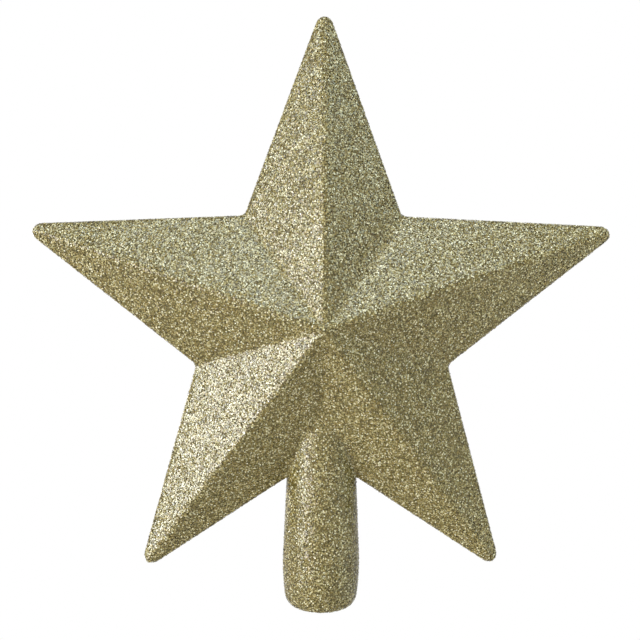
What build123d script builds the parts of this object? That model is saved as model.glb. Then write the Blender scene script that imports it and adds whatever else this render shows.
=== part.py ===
from build123d import *

import math
import os

# Glitter-coated five-pointed star that slips over the leader of a decorated tree.
# Two moulded half shells meet on the plane y = 0. A tongue on the front shell sits in a groove
# of the rear shell, cement fills the room that is left, and pins in the points line the halves up.
# Each half carries half of the socket tube and a bonded layer of glitter.
# The origin is the centre of the socket's mouth, +Z points up and -Y is the front.

# Driving dimensions in millimetres. Outside sizes are measured over the glitter coat.
POINTS = 5
centre_height = 95.9  # socket mouth to the star's centre
point_reach = 104.0  # star's centre to the sharp corner of a point, before rounding
notch_reach = 43.7  # star's centre to the inner corner between two points
crown_height = 24.4  # joint plane to the peak of one face, before its ridges are blunted
edge_height = 4.2  # plain edge under the facets, on each half
point_radius = 2.8  # rounding of a point, seen from the front
notch_radius = 2.4  # rounding of an inner corner, seen from the front
ridge_blunting = 0.5  # how far the ridges and the peak are taken down

shell_wall = 1.8
coat_thickness = 0.4

bore_radius = 9.0  # hole for the tree's leader
socket_wall_low = 3.4  # tube wall at its widest, near the mouth
socket_wall_high = 1.9  # tube wall where it enters the star
widest_height = 18.0  # mouth to the widest ring of the tube
rim_drawn_in = 0.5  # how much narrower the tube is above its rounded rim
rim_height = 4.4  # rounded rim of the mouth
rim_land = 0.6  # flat left around the bore at the mouth, coat included
socket_root = 24.0  # tube buried in the star, above the lowest inner corner

tongue_width = 0.6
tongue_height = 0.65
cement_side_gap = 0.2
cement_end_gap = 0.3
tongue_start = 6.0  # mouth to the lower ends of the tongue

pin_radius = 1.25
pin_length = 3.0
pin_clearance = 0.1
pin_end_gap = 0.5
boss_wall = 1.4
boss_reach = 58.0  # star's centre to a pin

least_radius = 0.2  # smallest rounding that is left where a wall eats one up
overrun = 5.0  # how far cutting tools run past what they cut

# Worked-out values
half_turn = math.pi / POINTS
edge_length = math.hypot(
    point_reach - notch_reach * math.cos(half_turn), notch_reach * math.sin(half_turn)
)
edge_reach = point_reach * notch_reach * math.sin(half_turn) / edge_length
point_half_angle = math.asin(notch_reach * math.sin(half_turn) / edge_length)
notch_half_angle = point_half_angle + half_turn
facet_slope = (crown_height - edge_height) / edge_reach
facet_stretch = math.hypot(1.0, facet_slope)
ridge_slope = (crown_height - edge_height) / point_reach
vast = 4 * point_reach  # larger than the star in every direction
lowest_notch = centre_height - notch_reach
socket_top = lowest_notch + socket_root
hollow_inset = coat_thickness + shell_wall
tongue_middle = shell_wall / 2

# Local x is the row's X, local y its Z from the star's centre, and local z points out of the front.
FACE_PLANE = Plane(origin=(0, 0, centre_height), x_dir=(1, 0, 0), z_dir=(0, -1, 0))


def star_corners(tip, notch):
    """Corners of a star, from the top point round, with that reach of its points and inner corners."""
    corners = []
    for step in range(2 * POINTS):
        reach = notch if step % 2 else tip
        corners.append((-reach * math.sin(step * half_turn), reach * math.cos(step * half_turn)))
    return corners


def outline(inset):
    """Rounded star outline, drawn in from the finished one by inset, as a local face."""
    tip = point_reach - inset / math.sin(point_half_angle)
    notch = notch_reach - inset / math.sin(notch_half_angle)
    sharp = Polygon(*star_corners(tip, notch), align=None)
    between = (tip + notch) / 2
    tips = [v for v in sharp.vertices() if math.hypot(v.X, v.Y) > between]
    rounded = fillet(tips, max(point_radius - inset, least_radius))
    near = notch + least_radius
    notches = [v for v in rounded.vertices() if math.hypot(v.X, v.Y) < near]
    return fillet(notches, notch_radius + inset)


def under_ridge(step, height):
    """Everything below a plane along one point's ridge that meets the star's axis at that height."""
    turn = 2 * step * half_turn
    upright = (-ridge_slope * math.sin(turn), ridge_slope * math.cos(turn), 1.0)
    return Plane(origin=(0, 0, height), z_dir=upright) * Pos(0, 0, -vast / 2) * Box(vast, vast, vast)


def facet_cone(inset):
    """Ten facets that meet at the peak, drawn in by inset, running past the joint plane."""
    peak_height = crown_height - inset * facet_stretch
    spread = (peak_height + overrun) / (crown_height - edge_height)
    ring = [
        Vector(x, y, -overrun)
        for x, y in star_corners(point_reach * spread, notch_reach * spread)
    ]
    peak = Vector(0, 0, peak_height)
    sides = []
    for here, after in zip(ring, ring[1:] + ring[:1]):
        sides.append(Face(Wire.make_polygon([here, after, peak])))
    base = Face(Wire.make_polygon(ring))
    sharp = Solid(Shell(sides + [base]))
    return sharp & [under_ridge(step, peak_height - ridge_blunting) for step in range(POINTS)]


def raised(face, start, end):
    """Local face drawn out between two heights over the joint plane, in the row's frame."""
    return FACE_PLANE * extrude(Pos(0, 0, start) * face, end - start, dir=(0, 0, 1))


def star_body(inset):
    """One half of the star without its socket, drawn in by inset and solid."""
    return raised(outline(inset), 0.0, crown_height) & (FACE_PLANE * facet_cone(inset))


def socket_body(inset):
    """Tapered tube with a rounded rim, narrower by inset, solid and whole."""
    low = bore_radius + socket_wall_low + coat_thickness - inset
    high = bore_radius + socket_wall_high + coat_thickness - inset
    above_rim = low - rim_drawn_in
    rim = bore_radius + rim_land - inset
    taper = (low - high) / (lowest_notch - widest_height)
    top = high - taper * socket_root
    mouth = Line((0, 0), (rim, 0))
    belly = TangentArc((low, widest_height), (above_rim, rim_height), tangent=(taper, -1))
    lip = TangentArc((above_rim, rim_height), (rim, 0), tangent=belly % 1)
    side = Line((low, widest_height), (top, socket_top))
    roof = Line((top, socket_top), (0, socket_top))
    axis = Line((0, socket_top), (0, 0))
    profile = Plane.XZ * make_face([mouth, lip, belly, side, roof, axis])
    return revolve(profile, Axis.Z)


def half_space():
    """Everything in front of the joint plane."""
    return Pos(0, -vast / 2, centre_height) * Box(vast, vast, vast)


def front_half(inset):
    """Star half with its half of the tube, drawn in by inset and solid."""
    return star_body(inset) + (socket_body(inset) & half_space())


def bore(length_below=0.0):
    """Hole for the leader, from below the mouth up into the hollow star."""
    height = socket_top + length_below
    return Pos(0, 0, -length_below) * Cylinder(
        bore_radius, height, align=(Align.CENTER, Align.CENTER, Align.MIN)
    )


def seam_band(inner, outer, start):
    """Band in the joint plane between two distances from the shell's inner face, as a local face."""
    low = start - centre_height
    high = socket_top - centre_height
    faces = []
    for offset_out in (outer, inner):
        strip = Pos(0, (low + high) / 2) * Rectangle(2 * (bore_radius + offset_out), high - low)
        faces.append(outline(hollow_inset - offset_out) + strip)
    return faces[0] - faces[1]


def tongue():
    """Ridge of the front shell that crosses the joint plane."""
    band = seam_band(
        tongue_middle - tongue_width / 2, tongue_middle + tongue_width / 2, tongue_start
    )
    return raised(band, -tongue_height, 0.0)


def groove():
    """Room in the rear shell for the tongue and the cement round it."""
    half = tongue_width / 2 + cement_side_gap
    band = seam_band(tongue_middle - half, tongue_middle + half, tongue_start - cement_side_gap)
    return raised(band, -tongue_height - cement_end_gap, 0.0)


def pin_places():
    """Joint-plane centres of the locating pins, one in each point."""
    for step in range(POINTS):
        turn = 2 * step * half_turn
        yield Pos(boss_reach * math.sin(turn), boss_reach * math.cos(turn))


def bosses():
    """Posts from the joint plane to the middle of the shell wall, in front."""
    limit = FACE_PLANE * facet_cone(coat_thickness + shell_wall / 2)
    posts = []
    for place in pin_places():
        post = place * Circle(pin_radius + pin_clearance + boss_wall)
        posts.append(raised(post, 0.0, crown_height) & limit)
    return posts


def pin_rods(radius, length):
    """Rods on the pin places, from inside the front posts to that length past the joint plane."""
    rods = []
    for place in pin_places():
        rods.append(raised(place * Circle(radius), -length, pin_radius))
    return rods


def to_rear(shape):
    """The same shape on the rear half."""
    return mirror(shape, about=Plane.XZ)


def hollow_half():
    """Front half of the moulded shell, without what joins it to the other half."""
    hollow = star_body(hollow_inset) + (bore(overrun) & half_space())
    shell = front_half(coat_thickness) - hollow
    for post in bosses():
        shell = shell + post
    return shell


def front_shell():
    shell = hollow_half() + tongue()
    for rod in pin_rods(pin_radius, pin_length):
        shell = shell + rod
    return shell


def rear_shell():
    shell = to_rear(hollow_half()) - groove()
    for rod in pin_rods(pin_radius + pin_clearance, pin_length + pin_end_gap):
        shell = shell - rod
    return shell


def seam_cement():
    return groove() - tongue()


def front_glitter_coat():
    return front_half(0.0) - front_half(coat_thickness) - bore(overrun)


NODES = {
    "front_shell": front_shell,
    "rear_shell": rear_shell,
    "seam_cement": seam_cement,
    "front_glitter_coat": front_glitter_coat,
    "rear_glitter_coat": lambda: to_rear(front_glitter_coat()),
}


def main():
    os.makedirs("parts", exist_ok=True)
    for name, make in NODES.items():
        shape = make()
        shape.label = name
        export_step(shape, f"parts/{name}.step")
        print(name, "solids", len(shape.solids()), "volume", round(shape.volume, 1))


main()
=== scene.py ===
"""Star for the top of a decorated tree, dressed in champagne gold glitter over its moulded shells."""
import math

import bpy
import numpy as np
import openvdb
from mathutils import Matrix, Vector


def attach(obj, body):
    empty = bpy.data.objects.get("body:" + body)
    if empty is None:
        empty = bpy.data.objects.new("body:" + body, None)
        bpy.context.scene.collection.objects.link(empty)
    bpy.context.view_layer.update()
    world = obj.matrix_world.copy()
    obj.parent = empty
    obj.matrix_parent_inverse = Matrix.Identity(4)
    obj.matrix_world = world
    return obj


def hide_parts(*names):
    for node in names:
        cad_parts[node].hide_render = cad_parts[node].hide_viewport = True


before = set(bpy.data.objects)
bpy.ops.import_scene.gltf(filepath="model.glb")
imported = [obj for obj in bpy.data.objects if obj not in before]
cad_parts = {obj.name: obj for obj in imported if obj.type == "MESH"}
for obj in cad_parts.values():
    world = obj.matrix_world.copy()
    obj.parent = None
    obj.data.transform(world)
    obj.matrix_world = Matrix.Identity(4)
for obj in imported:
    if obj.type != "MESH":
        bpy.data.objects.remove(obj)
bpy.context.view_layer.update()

# Star, in metres, over the glitter. The socket's mouth is at the origin and the front faces -Y.
POINTS = 5
CENTRE_HEIGHT = 0.0959
POINT_REACH = 0.104
NOTCH_REACH = 0.0437
CROWN_HEIGHT = 0.0244
EDGE_HEIGHT = 0.0042

# Roundings that the glitter leaves on the moulded form
POINT_RADIUS = 0.0028
NOTCH_RADIUS = 0.0024
RIDGE_RADIUS = 0.0016
VALLEY_RADIUS = 0.0022
EDGE_RADIUS = 0.0010
SOCKET_FILLET = 0.0012
SOCKET_CORNER_COSINE = 0.3  # between the tube's side and the facets, taken as the same all round

# Socket tube
SOCKET_WIDEST = 0.0128
SOCKET_AT_NOTCH = 0.0113
WIDEST_HEIGHT = 0.018
RIM_DRAWN_IN = 0.0005
RIM_HEIGHT = 0.0044
RIM_INNER = 0.0096
SOCKET_ROOT = 0.024
MOUTH_RADIUS = 0.00902
MOUTH_DEPTH = 0.0075

# Lacquer skin
SKIN_STEP = 0.0007
SKIN_MARGIN = 4  # steps of free room round the star
SKIN_SUNK = 0.0002

# Glitter flakes. Sizes are shares of the width, and covers are shares of the full density.
FLAKE_SIDES = 6
FLAKE_WIDTH = 0.0005
SMALLEST_FLAKE = 0.75
LARGEST_FLAKE = 1.2
FLAKES_PER_SQUARE_METRE = 8.4e6
FLAKE_TILT = math.radians(7)
STRAY_FLAKE_TILT = math.radians(24)
STRAY_RARENESS = 8.0
FLAKE_LIFT_LEAST = 0.00008
FLAKE_LIFT_MOST = 0.00030
SEAM_COVER = 0.35
MOUTH_COVER = 0.7

# Each half has its own seed, and each chance of a flake moves it on by its own offset
FRONT_SEED = 11
REAR_SEED = 31
TONE_OFFSET = 100
TINT_OFFSET = 200
LEAN_OFFSETS = (300, 400)
STRAY_OFFSET = 500

# From the top point round to the left
ZONE_NAMES = (
    "top_point",
    "left_point",
    "lower_left_point",
    "lower_right_point",
    "right_point",
    "socket",
)

# Finishes. Tones are places on a ramp with their colours, a roughness has its least and its most,
# bumps have their strength and their height, and a cloudy pattern has its scale and its detail.
WARM_FLAKE_TONES = (
    (0.0, (0.077, 0.047, 0.005)),
    (0.5, (0.219, 0.155, 0.032)),
    (0.85, (0.415, 0.332, 0.135)),
    (1.0, (0.731, 0.660, 0.450)),
)
GREEN_FLAKE_TONES = (
    (0.0, (0.058, 0.049, 0.009)),
    (0.5, (0.188, 0.157, 0.045)),
    (0.85, (0.369, 0.340, 0.170)),
    (1.0, (0.692, 0.675, 0.500)),
)
FLAKE_ROUGHNESS = (0.14, 0.24)
FLAKE_IOR = 1.64
FLAKE_BUMPS = (0.5, 0.00002)
FLAKE_CRINKLE = (2 / FLAKE_WIDTH, 2.0)

LACQUER_TONES = (
    (0.0, (0.035, 0.025, 0.004)),
    (0.6, (0.077, 0.057, 0.011)),
    (1.0, (0.169, 0.135, 0.038)),
)
LACQUER_ROUGHNESS = (0.5, 0.7)
LACQUER_IOR = 1.35
LACQUER_BUMPS = (0.6, FLAKE_LIFT_MOST)

SHELL_TONES = ((0.3, (0.34, 0.27, 0.11)), (0.7, (0.45, 0.37, 0.17)))
SHELL_ROUGHNESS = (0.34, 0.55)
SHELL_BUMPS = (0.35, 0.0001)
SHELL_FLOW_STRETCH = (1.0, 1.0, 0.3)
SHELL_CLOUD = (160.0, 4.0)
SHELL_GRAIN = (2500.0, 3.0)

CEMENT_TONES = ((0.3, (0.50, 0.42, 0.22)), (0.7, (0.62, 0.55, 0.34)))
CEMENT_ROUGHNESS = (0.12, 0.28)
CEMENT_BUMPS = (0.3, 0.0002)
CEMENT_WAVES = (400.0, 3.0)

# Name, place, width, watts and colour of each soft lamp, all turned to the star
LAMPS = (
    ("left_lamp", (-0.83, -0.40, 0.08), 0.38, 3.55, (0.91, 1.0, 0.95)),
    ("left_front_lamp", (-0.70, -0.65, 0.10), 0.5, 4.65, (1.0, 0.93, 0.92)),
    ("left_upper_lamp", (-0.42, -0.28, 0.42), 0.2, 0.53, (0.77, 0.93, 1.0)),
    ("right_upper_lamp", (0.42, -0.24, 0.38), 0.2, 0.455, (0.80, 1.0, 0.88)),
    ("right_lower_lamp", (0.40, -0.16, -0.12), 0.2, 0.165, (0.92, 1.0, 0.62)),
    ("top_lamp", (0.0, -0.46, 0.90), 0.56, 4.15, (0.85, 1.0, 0.97)),
    ("rear_left_lamp", (-0.70, 0.75, 0.15), 0.5, 4.2, (1.0, 0.97, 0.93)),
    ("rear_top_lamp", (0.10, 0.75, 0.90), 0.5, 3.2, (0.95, 1.0, 0.98)),
    ("rear_right_lamp", (0.70, 0.85, 0.45), 0.35, 0.8, (0.92, 1.0, 0.98)),
)

# White room and pale floor
ROOM_COLOUR = (1, 1, 1, 1)
ROOM_STRENGTH = 1.0
FILL_COLOUR = (1.0, 0.98, 0.88, 1)
FILL_STRENGTH = 0.49
FLOOR_HEIGHT = -0.25
FLOOR_HALF_WIDTH = 6.0
FLOOR_COLOUR = (0.74, 0.71, 0.65, 1)
FLOOR_ROUGHNESS = 0.9
FLOOR_FADE_START = 0.25
FLOOR_FADE_END = 0.5

# Camera where the photograph was taken from, worked out from the star's corners
CAMERA_AZIMUTH = math.radians(-1.66)
CAMERA_ELEVATION = math.radians(5.43)
CAMERA_ROLL = math.radians(0.34)
CAMERA_DISTANCE = 0.3326
CAMERA_AIM = (-0.0008, 0, CENTRE_HEIGHT + 0.0010)
CAMERA_LENS = 56.25
CAMERA_SENSOR = 36.0
CAMERA_CLOSEST = 0.01

# Worked-out values of the star
HALF_TURN = math.pi / POINTS
EDGE_LENGTH = math.hypot(
    POINT_REACH - NOTCH_REACH * math.cos(HALF_TURN), NOTCH_REACH * math.sin(HALF_TURN)
)
POINT_HALF_ANGLE = math.asin(NOTCH_REACH * math.sin(HALF_TURN) / EDGE_LENGTH)
EDGE_REACH = POINT_REACH * math.sin(POINT_HALF_ANGLE)
FACET_SLOPE = (CROWN_HEIGHT - EDGE_HEIGHT) / EDGE_REACH
FACET_STRETCH = math.hypot(1.0, FACET_SLOPE)
NOTCH_HALF_ANGLE = POINT_HALF_ANGLE + HALF_TURN
LOWEST_NOTCH = CENTRE_HEIGHT - NOTCH_REACH


def rounded(a, b, cosine, radius):
    """Inside both of two walls whose outward normals have that cosine, with a round corner."""
    a = a + radius
    b = b + radius
    in_corner = (a > cosine * b) & (b > cosine * a)
    square = (a * a + b * b - 2 * cosine * a * b) / (1 - cosine * cosine)
    corner = np.sqrt(np.maximum(square, 0))
    return np.where(in_corner, corner, np.maximum(a, b)) - radius


def joined(a, b, cosine, radius):
    """Inside either of two bodies, with a fillet where they meet."""
    return -rounded(-a, -b, cosine, radius)


def facet_cosine(flat_cosine):
    """Cosine between two facets whose outline edges have that cosine between their normals."""
    return (1 + FACET_SLOPE**2 * flat_cosine) / FACET_STRETCH**2


def star_distance(x, depth, z):
    """Distance from the star's glittered surface, negative inside, without its socket."""
    at_point = math.cos(math.pi - 2 * POINT_HALF_ANGLE)
    at_notch = math.cos(math.pi - 2 * NOTCH_HALF_ANGLE)
    reach = np.hypot(x, z - CENTRE_HEIGHT)
    turn = np.arctan2(x, z - CENTRE_HEIGHT) + HALF_TURN
    turn = np.abs(np.mod(turn, 2 * HALF_TURN) - HALF_TURN)
    own, across_ridge, across_notch = (
        reach * np.cos(angle) * math.sin(POINT_HALF_ANGLE)
        + reach * np.sin(angle) * math.cos(POINT_HALF_ANGLE)
        - EDGE_REACH
        for angle in (turn, -turn, 2 * HALF_TURN - turn)
    )
    outline = rounded(own, across_ridge, at_point, POINT_RADIUS)
    outline = joined(outline, across_notch, at_notch, NOTCH_RADIUS)
    facets = [
        (depth - EDGE_HEIGHT + FACET_SLOPE * edge) / FACET_STRETCH
        for edge in (own, across_ridge, across_notch)
    ]
    face = rounded(facets[0], facets[1], facet_cosine(at_point), RIDGE_RADIUS)
    face = joined(face, facets[2], facet_cosine(at_notch), VALLEY_RADIUS)
    return rounded(face, outline, FACET_SLOPE / FACET_STRETCH, EDGE_RADIUS)


def socket_radius(z):
    """Outside radius of the socket tube at a height over its mouth."""
    taper = (SOCKET_WIDEST - SOCKET_AT_NOTCH) / (LOWEST_NOTCH - WIDEST_HEIGHT)
    below = WIDEST_HEIGHT - z
    belly_height = WIDEST_HEIGHT - RIM_HEIGHT
    bend = (taper * belly_height + RIM_DRAWN_IN) / belly_height**2
    side = SOCKET_WIDEST + taper * below - np.where(below > 0, bend * below**2, 0)
    above_rim = SOCKET_WIDEST - RIM_DRAWN_IN
    drop = above_rim - RIM_INNER
    rim_radius = (drop**2 + RIM_HEIGHT**2) / (2 * drop)
    into_rim = np.clip(RIM_HEIGHT - z, 0, RIM_HEIGHT)
    rim = above_rim - rim_radius + np.sqrt(rim_radius**2 - into_rim**2)
    return np.where(z < RIM_HEIGHT, rim, side)


def socket_distance(x, depth, z):
    """Distance from the outside of the socket tube, negative inside."""
    reach = np.hypot(x, depth)
    top = LOWEST_NOTCH + SOCKET_ROOT
    return np.maximum(np.maximum(reach - socket_radius(z), z - top), -z)


def in_bore(points):
    """Whether points lie on the wall of the bore or inside it, up to the star."""
    close = np.hypot(points[:, 0], points[:, 1]) < MOUTH_RADIUS + SKIN_STEP / 2
    return close & (points[:, 2] < LOWEST_NOTCH)


def glitter_surface():
    """Points and four-sided faces of the whole star's skin, the left and right sides alike."""
    margin = SKIN_MARGIN * SKIN_STEP
    half_wide = int((POINT_REACH + margin) / SKIN_STEP)
    half_deep = int((CROWN_HEIGHT + margin) / SKIN_STEP)
    high = int((CENTRE_HEIGHT + POINT_REACH + 2 * margin) / SKIN_STEP)
    x = (np.arange(half_wide) + 0.5)[:, None, None] * SKIN_STEP
    depth = (np.arange(half_deep) + 0.5)[None, :, None] * SKIN_STEP
    z = (np.arange(high) - SKIN_MARGIN)[None, None, :] * SKIN_STEP
    star = star_distance(x, depth, z)
    field = joined(star, socket_distance(x, depth, z), SOCKET_CORNER_COSINE, SOCKET_FILLET)
    hole_top = MOUTH_DEPTH + margin
    hole = np.maximum(np.hypot(x, depth) - MOUTH_RADIUS, z - hole_top)
    field = np.maximum(field + SKIN_SUNK, -hole)
    field = np.concatenate([field[:, ::-1], field], axis=1)
    field = np.concatenate([field[::-1], field], axis=0)
    grid = openvdb.FloatGrid()
    grid.copyFromArray((field / SKIN_STEP).astype(np.float32))
    points, quads = grid.convertToQuads()
    points = (points - (half_wide - 0.5, half_deep - 0.5, SKIN_MARGIN)) * SKIN_STEP
    centres = points[quads].mean(axis=1)
    past_mouth = (centres[:, 2] > MOUTH_DEPTH) & (centres[:, 2] < hole_top + SKIN_STEP)
    return points, quads[~(in_bore(centres) & past_mouth)]


def glitter_cover(points):
    """Share of the flakes that hold at each point: fewer on the joint line and up inside the mouth."""
    on_seam = np.abs(points[:, 1]) < SKIN_STEP / 2
    up_the_bore = MOUTH_COVER * np.clip(1 - points[:, 2] / MOUTH_DEPTH, 0, 1)
    return np.where(in_bore(points), up_the_bore, np.where(on_seam, SEAM_COVER, 1.0))


def zone_of(centres):
    """Zone of each face, as its number in the zone names: one for each point and one for the socket."""
    turn = np.arctan2(-centres[:, 0], centres[:, 2] - CENTRE_HEIGHT)
    zone = np.round(turn / (2 * HALF_TURN)).astype(int) % POINTS
    beside_axis = np.abs(centres[:, 0]) < SOCKET_WIDEST + SOCKET_FILLET
    return np.where(beside_axis & (centres[:, 2] < LOWEST_NOTCH), POINTS, zone)


def mesh_object(name, points, faces):
    """New object in the scene, from points and faces."""
    mesh = bpy.data.meshes.new(name)
    mesh.from_pydata(points.tolist(), [], faces.tolist())
    mesh.update()
    piece = bpy.data.objects.new(name, mesh)
    bpy.context.scene.collection.objects.link(piece)
    return piece


def kept_faces(points, faces, keep):
    """The faces to keep, with only their own points."""
    faces = faces[keep]
    used, numbered = np.unique(faces, return_inverse=True)
    return points[used], numbered.reshape(faces.shape)


def add(tree, kind, given=None, **settings):
    """New node with its settings, whose inputs are set to values or linked to other nodes' outputs."""
    node = tree.nodes.new(kind)
    for key, value in settings.items():
        setattr(node, key, value)
    for key, value in (given or {}).items():
        if isinstance(value, bpy.types.NodeSocket):
            tree.links.new(value, node.inputs[key])
        else:
            node.inputs[key].default_value = value
    return node


# Materials


def new_material(name):
    """New material, its nodes and its shader."""
    material = bpy.data.materials.new(name)
    material.use_nodes = True
    tree = material.node_tree
    return material, tree, tree.nodes["Principled BSDF"]


def object_place(tree):
    """Place on the object, for patterns that stay with it."""
    return add(tree, "ShaderNodeTexCoord").outputs["Object"]


def cloud(tree, place, scale, detail):
    """Soft cloudy pattern."""
    given = {"Vector": place, "Scale": scale, "Detail": detail}
    return add(tree, "ShaderNodeTexNoise", given).outputs["Fac"]


def toned(tree, value, tones):
    """Colour of a value on a ramp of tones."""
    node = add(tree, "ShaderNodeValToRGB", {"Fac": value})
    elements = node.color_ramp.elements
    while len(elements) < len(tones):
        elements.new(1.0)
    for element, (place, colour) in zip(elements, tones):
        element.position = place
        element.color = (*colour, 1.0)
    return node.outputs["Color"]


def finish_surface(tree, shader, colour, gloss, roughness, height, bumps):
    """Gives a shader its colour, a roughness that follows gloss and bumps that follow height."""
    tree.links.new(colour, shader.inputs["Base Color"])
    limits = {"Value": gloss, "To Min": roughness[0], "To Max": roughness[1]}
    uneven = add(tree, "ShaderNodeMapRange", limits)
    tree.links.new(uneven.outputs["Result"], shader.inputs["Roughness"])
    relief = {"Height": height, "Strength": bumps[0], "Distance": bumps[1]}
    bumped = add(tree, "ShaderNodeBump", relief)
    tree.links.new(bumped.outputs["Normal"], shader.inputs["Normal"])


def glitter_flake_material():
    """Flakes from dark olive to pale champagne, some warmer and some greener, with a clear gloss."""
    material, tree, shader = new_material("champagne_glitter_flake")
    tone = add(tree, "ShaderNodeAttribute", attribute_name="tone").outputs["Fac"]
    tint = add(tree, "ShaderNodeAttribute", attribute_name="tint").outputs["Fac"]
    tints = {
        "Factor": tint,
        "A": toned(tree, tone, WARM_FLAKE_TONES),
        "B": toned(tree, tone, GREEN_FLAKE_TONES),
    }
    colour = add(tree, "ShaderNodeMix", tints, data_type="RGBA").outputs["Result"]
    crinkle = cloud(tree, object_place(tree), *FLAKE_CRINKLE)
    finish_surface(tree, shader, colour, tint, FLAKE_ROUGHNESS, crinkle, FLAKE_BUMPS)
    shader.inputs["IOR"].default_value = FLAKE_IOR
    return material


def lacquer_material():
    """Gold-tinted lacquer seen between the flakes, pebbled where it has run round them."""
    material, tree, shader = new_material("gold_tinted_lacquer")
    pebbles = {"Vector": object_place(tree), "Scale": 1 / FLAKE_WIDTH}
    cells = add(tree, "ShaderNodeTexVoronoi", pebbles)
    split = add(tree, "ShaderNodeSeparateColor", {"Color": cells.outputs["Color"]})
    colour = toned(tree, split.outputs["Red"], LACQUER_TONES)
    gloss = split.outputs["Green"]
    height = cells.outputs["Distance"]
    finish_surface(tree, shader, colour, gloss, LACQUER_ROUGHNESS, height, LACQUER_BUMPS)
    shader.inputs["IOR"].default_value = LACQUER_IOR
    return material


def shell_material():
    """Gold-tinted plastic with the cloudy flow and fine matt grain that the mould leaves inside."""
    material, tree, shader = new_material("pale_gold_moulded_plastic")
    place = object_place(tree)
    stretched = {"Vector": place, "Scale": SHELL_FLOW_STRETCH}
    flow = add(tree, "ShaderNodeMapping", stretched).outputs["Vector"]
    colour = toned(tree, cloud(tree, flow, *SHELL_CLOUD), SHELL_TONES)
    grain = cloud(tree, place, *SHELL_GRAIN)
    finish_surface(tree, shader, colour, grain, SHELL_ROUGHNESS, grain, SHELL_BUMPS)
    return material


def cement_material():
    """Hardened cement, clear but for the gold that it took up, with a wavy skin."""
    material, tree, shader = new_material("hardened_clear_cement")
    waves = cloud(tree, object_place(tree), *CEMENT_WAVES)
    colour = toned(tree, waves, CEMENT_TONES)
    finish_surface(tree, shader, colour, waves, CEMENT_ROUGHNESS, waves, CEMENT_BUMPS)
    return material


# Glitter flakes


def seeded(tree, seed, offset):
    """The given seed moved on, so that each chance of a flake is its own."""
    return add(tree, "FunctionNodeIntegerMath", {0: seed, 1: offset}, operation="ADD").outputs[0]


def chance(tree, seed, least=0.0, most=1.0):
    """Chance value of each flake between two limits."""
    limits = {2: least, 3: most, "Seed": seed}
    return add(tree, "FunctionNodeRandomValue", limits, data_type="FLOAT").outputs[1]


def flake_points(tree, given):
    """Points scattered over the faces of one zone, with the turn that lays a flake on the skin."""
    named = "GeometryNodeInputNamedAttribute"
    zone = add(tree, named, {"Name": "zone"}, data_type="INT").outputs["Attribute"]
    cover = add(tree, named, {"Name": "cover"}, data_type="FLOAT").outputs["Attribute"]
    here = add(
        tree, "FunctionNodeCompare", {2: zone, 3: given["Zone"]}, data_type="INT", operation="EQUAL"
    )
    held = add(tree, "ShaderNodeMath", {0: cover, 1: given["Density"]}, operation="MULTIPLY")
    spread = {
        "Mesh": given["Geometry"],
        "Selection": here.outputs["Result"],
        "Density": held.outputs["Value"],
        "Seed": given["Seed"],
    }
    return add(tree, "GeometryNodeDistributePointsOnFaces", spread, distribute_method="RANDOM").outputs


def lifted_points(tree, given, spread):
    """The points raised off the skin by chance, each with its own tone and tint."""
    lift = chance(tree, given["Seed"], given["Lift Least"], given["Lift Most"])
    outward = add(tree, "ShaderNodeVectorMath", {0: spread["Normal"], "Scale": lift}, operation="SCALE")
    moved = {"Geometry": spread["Points"], "Offset": outward.outputs["Vector"]}
    points = add(tree, "GeometryNodeSetPosition", moved).outputs["Geometry"]
    for name, offset in (("tone", TONE_OFFSET), ("tint", TINT_OFFSET)):
        value = chance(tree, seeded(tree, given["Seed"], offset))
        mark = {"Name": name, "Geometry": points, "Value": value}
        stored = add(
            tree, "GeometryNodeStoreNamedAttribute", mark, data_type="FLOAT", domain="POINT"
        )
        points = stored.outputs["Geometry"]
    return points


def flake_turns(tree, given, laid):
    """Turn of each flake: laid on the skin, then leant over a little, and a few of them by more."""
    stray = chance(tree, seeded(tree, given["Seed"], STRAY_OFFSET))
    rare = add(tree, "ShaderNodeMath", {0: stray, 1: STRAY_RARENESS}, operation="POWER").outputs[0]
    tilts = {"Value": rare, "To Min": given["Tilt"], "To Max": given["Stray Tilt"]}
    tilt = add(tree, "ShaderNodeMapRange", tilts).outputs["Result"]
    leans = {}
    for number, offset in enumerate(LEAN_OFFSETS):
        limits = {0: (-1.0, -1.0, 0.0), 1: (1.0, 1.0, 0.0)}
        limits["Seed"] = seeded(tree, given["Seed"], offset)
        lean = add(tree, "FunctionNodeRandomValue", limits, data_type="FLOAT_VECTOR")
        leans[number] = lean.outputs[0]
    both = add(tree, "ShaderNodeVectorMath", leans, operation="ADD").outputs["Vector"]
    leant = add(tree, "ShaderNodeVectorMath", {0: both, "Scale": tilt}, operation="SCALE")
    lean_turn = add(tree, "FunctionNodeEulerToRotation", {"Euler": leant.outputs["Vector"]})
    turns = {"Rotation": laid, "Rotate By": lean_turn.outputs["Rotation"]}
    return add(tree, "FunctionNodeRotateRotation", turns, rotation_space="LOCAL").outputs["Rotation"]


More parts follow.
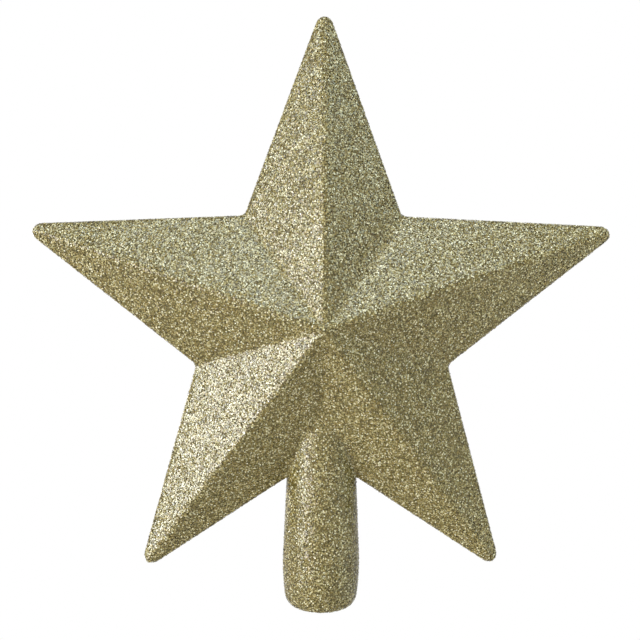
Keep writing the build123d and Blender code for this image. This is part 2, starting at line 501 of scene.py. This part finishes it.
def flake_tree(flake_material):
    """Scatters six-sided flakes over the faces of one zone, each tilted and turned by chance."""
    tree = bpy.data.node_groups.new("scatter_glitter_flakes", "GeometryNodeTree")
    for name, kind in (
        ("Geometry", "NodeSocketGeometry"),
        ("Zone", "NodeSocketInt"),
        ("Density", "NodeSocketFloat"),
        ("Flake Width", "NodeSocketFloat"),
        ("Tilt", "NodeSocketFloat"),
        ("Stray Tilt", "NodeSocketFloat"),
        ("Lift Least", "NodeSocketFloat"),
        ("Lift Most", "NodeSocketFloat"),
        ("Seed", "NodeSocketInt"),
    ):
        tree.interface.new_socket(name, in_out="INPUT", socket_type=kind)
    tree.interface.new_socket("Geometry", in_out="OUTPUT", socket_type="NodeSocketGeometry")
    given = add(tree, "NodeGroupInput").outputs

    spread = flake_points(tree, given)
    radius = add(tree, "ShaderNodeMath", {0: given["Flake Width"], 1: 0.5}, operation="MULTIPLY")
    shape = {"Vertices": FLAKE_SIDES, "Radius": radius.outputs["Value"]}
    flake = add(tree, "GeometryNodeMeshCircle", shape, fill_type="NGON")
    laid = {
        "Points": lifted_points(tree, given, spread),
        "Instance": flake.outputs["Mesh"],
        "Rotation": flake_turns(tree, given, spread["Rotation"]),
        "Scale": chance(tree, given["Seed"], SMALLEST_FLAKE, LARGEST_FLAKE),
    }
    flakes = add(tree, "GeometryNodeInstanceOnPoints", laid).outputs["Instances"]
    real = add(tree, "GeometryNodeRealizeInstances", {"Geometry": flakes}).outputs["Geometry"]
    paint = {"Geometry": real, "Material": flake_material}
    painted = add(tree, "GeometryNodeSetMaterial", paint).outputs["Geometry"]
    add(tree, "NodeGroupOutput", {"Geometry": painted})
    return tree


def scattered(skin, tree, name, zone, seed):
    """The flakes of one zone of a skin, as a piece of their own."""
    modifier = skin.modifiers.new("glitter", "NODES")
    modifier.node_group = tree
    values = {
        "Zone": zone,
        "Density": FLAKES_PER_SQUARE_METRE,
        "Flake Width": FLAKE_WIDTH,
        "Tilt": FLAKE_TILT,
        "Stray Tilt": STRAY_FLAKE_TILT,
        "Lift Least": FLAKE_LIFT_LEAST,
        "Lift Most": FLAKE_LIFT_MOST,
        "Seed": seed,
    }
    for item in tree.interface.items_tree:
        if item.in_out == "INPUT" and item.name in values:
            modifier[item.identifier] = values[item.name]
    skin.update_tag()
    evaluated = skin.evaluated_get(bpy.context.evaluated_depsgraph_get())
    mesh = bpy.data.meshes.new_from_object(evaluated)
    mesh.name = name
    mesh.materials.pop(index=0)
    mesh.attributes.remove(mesh.attributes["material_index"])
    skin.modifiers.remove(modifier)
    piece = bpy.data.objects.new(name, mesh)
    bpy.context.scene.collection.objects.link(piece)
    return piece


def dress_half(name, node, points, quads, keep, materials, tree, first_seed):
    """Skin of one half, which stands for its coat, and the flakes of each of its zones."""
    own_points, own_quads = kept_faces(points, quads, keep)
    skin = mesh_object(f"{name}_lacquer", own_points, own_quads)
    centres = own_points[own_quads].mean(axis=1)
    zones = skin.data.attributes.new("zone", "INT", "FACE")
    zones.data.foreach_set("value", zone_of(centres).astype(np.int32))
    cover = skin.data.attributes.new("cover", "FLOAT", "POINT")
    cover.data.foreach_set("value", glitter_cover(own_points).astype(np.float32))
    skin.data.shade_smooth()
    for zone, zone_name in enumerate(ZONE_NAMES):
        flakes = scattered(skin, tree, f"{name}_{zone_name}_flakes", zone, first_seed + zone)
        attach(flakes, "root")
    skin.data.materials.append(materials["lacquer"])
    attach(skin, "root")
    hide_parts(node)


# Studio


def soft_lamp(name, place, width, watts, colour):
    """Round soft lamp, turned to the star's centre."""
    lamp = bpy.data.lights.new(name, "AREA")
    lamp.shape = "DISK"
    lamp.size = width
    lamp.energy = watts
    lamp.color = colour
    holder = bpy.data.objects.new(name, lamp)
    holder.location = place
    aim = Vector((0, 0, CENTRE_HEIGHT)) - Vector(place)
    holder.rotation_euler = aim.to_track_quat("-Z", "Y").to_euler()
    bpy.context.scene.collection.objects.link(holder)


def seen_directly(tree):
    """One for rays from the camera, from gloss and through glass, and nought for light on the object."""
    path = add(tree, "ShaderNodeLightPath").outputs
    most = path["Is Camera Ray"]
    for name in ("Is Glossy Ray", "Is Transmission Ray"):
        most = add(tree, "ShaderNodeMath", {0: most, 1: path[name]}, operation="MAXIMUM").outputs[0]
    return most


def room():
    """White room, which lights the object with a weaker fill than it shows."""
    world = bpy.data.worlds.new("white_room")
    world.use_nodes = True
    tree = world.node_tree
    seen = tree.nodes["Background"]
    seen.inputs["Color"].default_value = ROOM_COLOUR
    seen.inputs["Strength"].default_value = ROOM_STRENGTH
    fill = add(tree, "ShaderNodeBackground", {"Color": FILL_COLOUR, "Strength": FILL_STRENGTH})
    parts = {"Fac": seen_directly(tree), 1: fill.outputs[0], 2: seen.outputs[0]}
    mix = add(tree, "ShaderNodeMixShader", parts)
    tree.links.new(mix.outputs[0], tree.nodes["World Output"].inputs["Surface"])
    bpy.context.scene.world = world


def floor_material():
    """Pale paint that fades to the white of the room further out."""
    material, tree, paint = new_material("pale_floor_paint")
    paint.inputs["Base Color"].default_value = FLOOR_COLOUR
    paint.inputs["Roughness"].default_value = FLOOR_ROUGHNESS
    level = {0: object_place(tree), 1: (1, 1, 0)}
    flat = add(tree, "ShaderNodeVectorMath", level, operation="MULTIPLY").outputs["Vector"]
    away = add(tree, "ShaderNodeVectorMath", {0: flat}, operation="LENGTH").outputs["Value"]
    limits = {"Value": away, "From Min": FLOOR_FADE_START, "From Max": FLOOR_FADE_END}
    fade = add(tree, "ShaderNodeMapRange", limits, interpolation_type="SMOOTHSTEP").outputs["Result"]
    share = add(tree, "ShaderNodeMath", {0: fade, 1: seen_directly(tree)}, operation="MULTIPLY")
    white = add(tree, "ShaderNodeEmission")
    parts = {"Fac": share.outputs[0], 1: paint.outputs[0], 2: white.outputs[0]}
    mix = add(tree, "ShaderNodeMixShader", parts)
    tree.links.new(mix.outputs[0], tree.nodes["Material Output"].inputs["Surface"])
    return material


def floor():
    """Pale floor well below the star, whose shadow it keeps."""
    half = FLOOR_HALF_WIDTH
    corners = np.array([(-half, -half, 0), (half, -half, 0), (half, half, 0), (-half, half, 0)])
    corners[:, 2] = FLOOR_HEIGHT
    sheet = mesh_object("pale_floor", corners, np.array([[0, 1, 2, 3]]))
    sheet.data.materials.append(floor_material())


def camera():
    """Camera turned to the star and rolled a little about its own line of sight."""
    back = Vector(
        (
            math.sin(CAMERA_AZIMUTH) * math.cos(CAMERA_ELEVATION),
            -math.cos(CAMERA_AZIMUTH) * math.cos(CAMERA_ELEVATION),
            math.sin(CAMERA_ELEVATION),
        )
    )
    right = (-back).cross(Vector((0, 0, 1))).normalized()
    up = right.cross(-back)
    rolled_right = math.cos(CAMERA_ROLL) * right + math.sin(CAMERA_ROLL) * up
    rolled_up = -math.sin(CAMERA_ROLL) * right + math.cos(CAMERA_ROLL) * up
    lens = bpy.data.cameras.new("photo_camera")
    lens.lens = CAMERA_LENS
    lens.sensor_width = CAMERA_SENSOR
    lens.clip_start = CAMERA_CLOSEST
    holder = bpy.data.objects.new("photo_camera", lens)
    place = Vector(CAMERA_AIM) + back * CAMERA_DISTANCE
    turn = Matrix((rolled_right, rolled_up, back)).transposed().to_4x4()
    holder.matrix_world = Matrix.Translation(place) @ turn
    bpy.context.scene.collection.objects.link(holder)
    bpy.context.scene.camera = holder


def main():
    materials = {
        "flake": glitter_flake_material(),
        "lacquer": lacquer_material(),
        "shell": shell_material(),
        "cement": cement_material(),
    }
    for node, finish in (("front_shell", "shell"), ("rear_shell", "shell"), ("seam_cement", "cement")):
        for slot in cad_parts[node].material_slots:
            slot.material = materials[finish]

    points, quads = glitter_surface()
    in_front = points[quads].mean(axis=1)[:, 1] < 0
    tree = flake_tree(materials["flake"])
    dress_half("front", "front_glitter_coat", points, quads, in_front, materials, tree, FRONT_SEED)
    dress_half("rear", "rear_glitter_coat", points, quads, ~in_front, materials, tree, REAR_SEED)

    for lamp in LAMPS:
        soft_lamp(*lamp)
    room()
    floor()
    camera()
    bpy.context.scene.view_settings.view_transform = "Standard"


main()
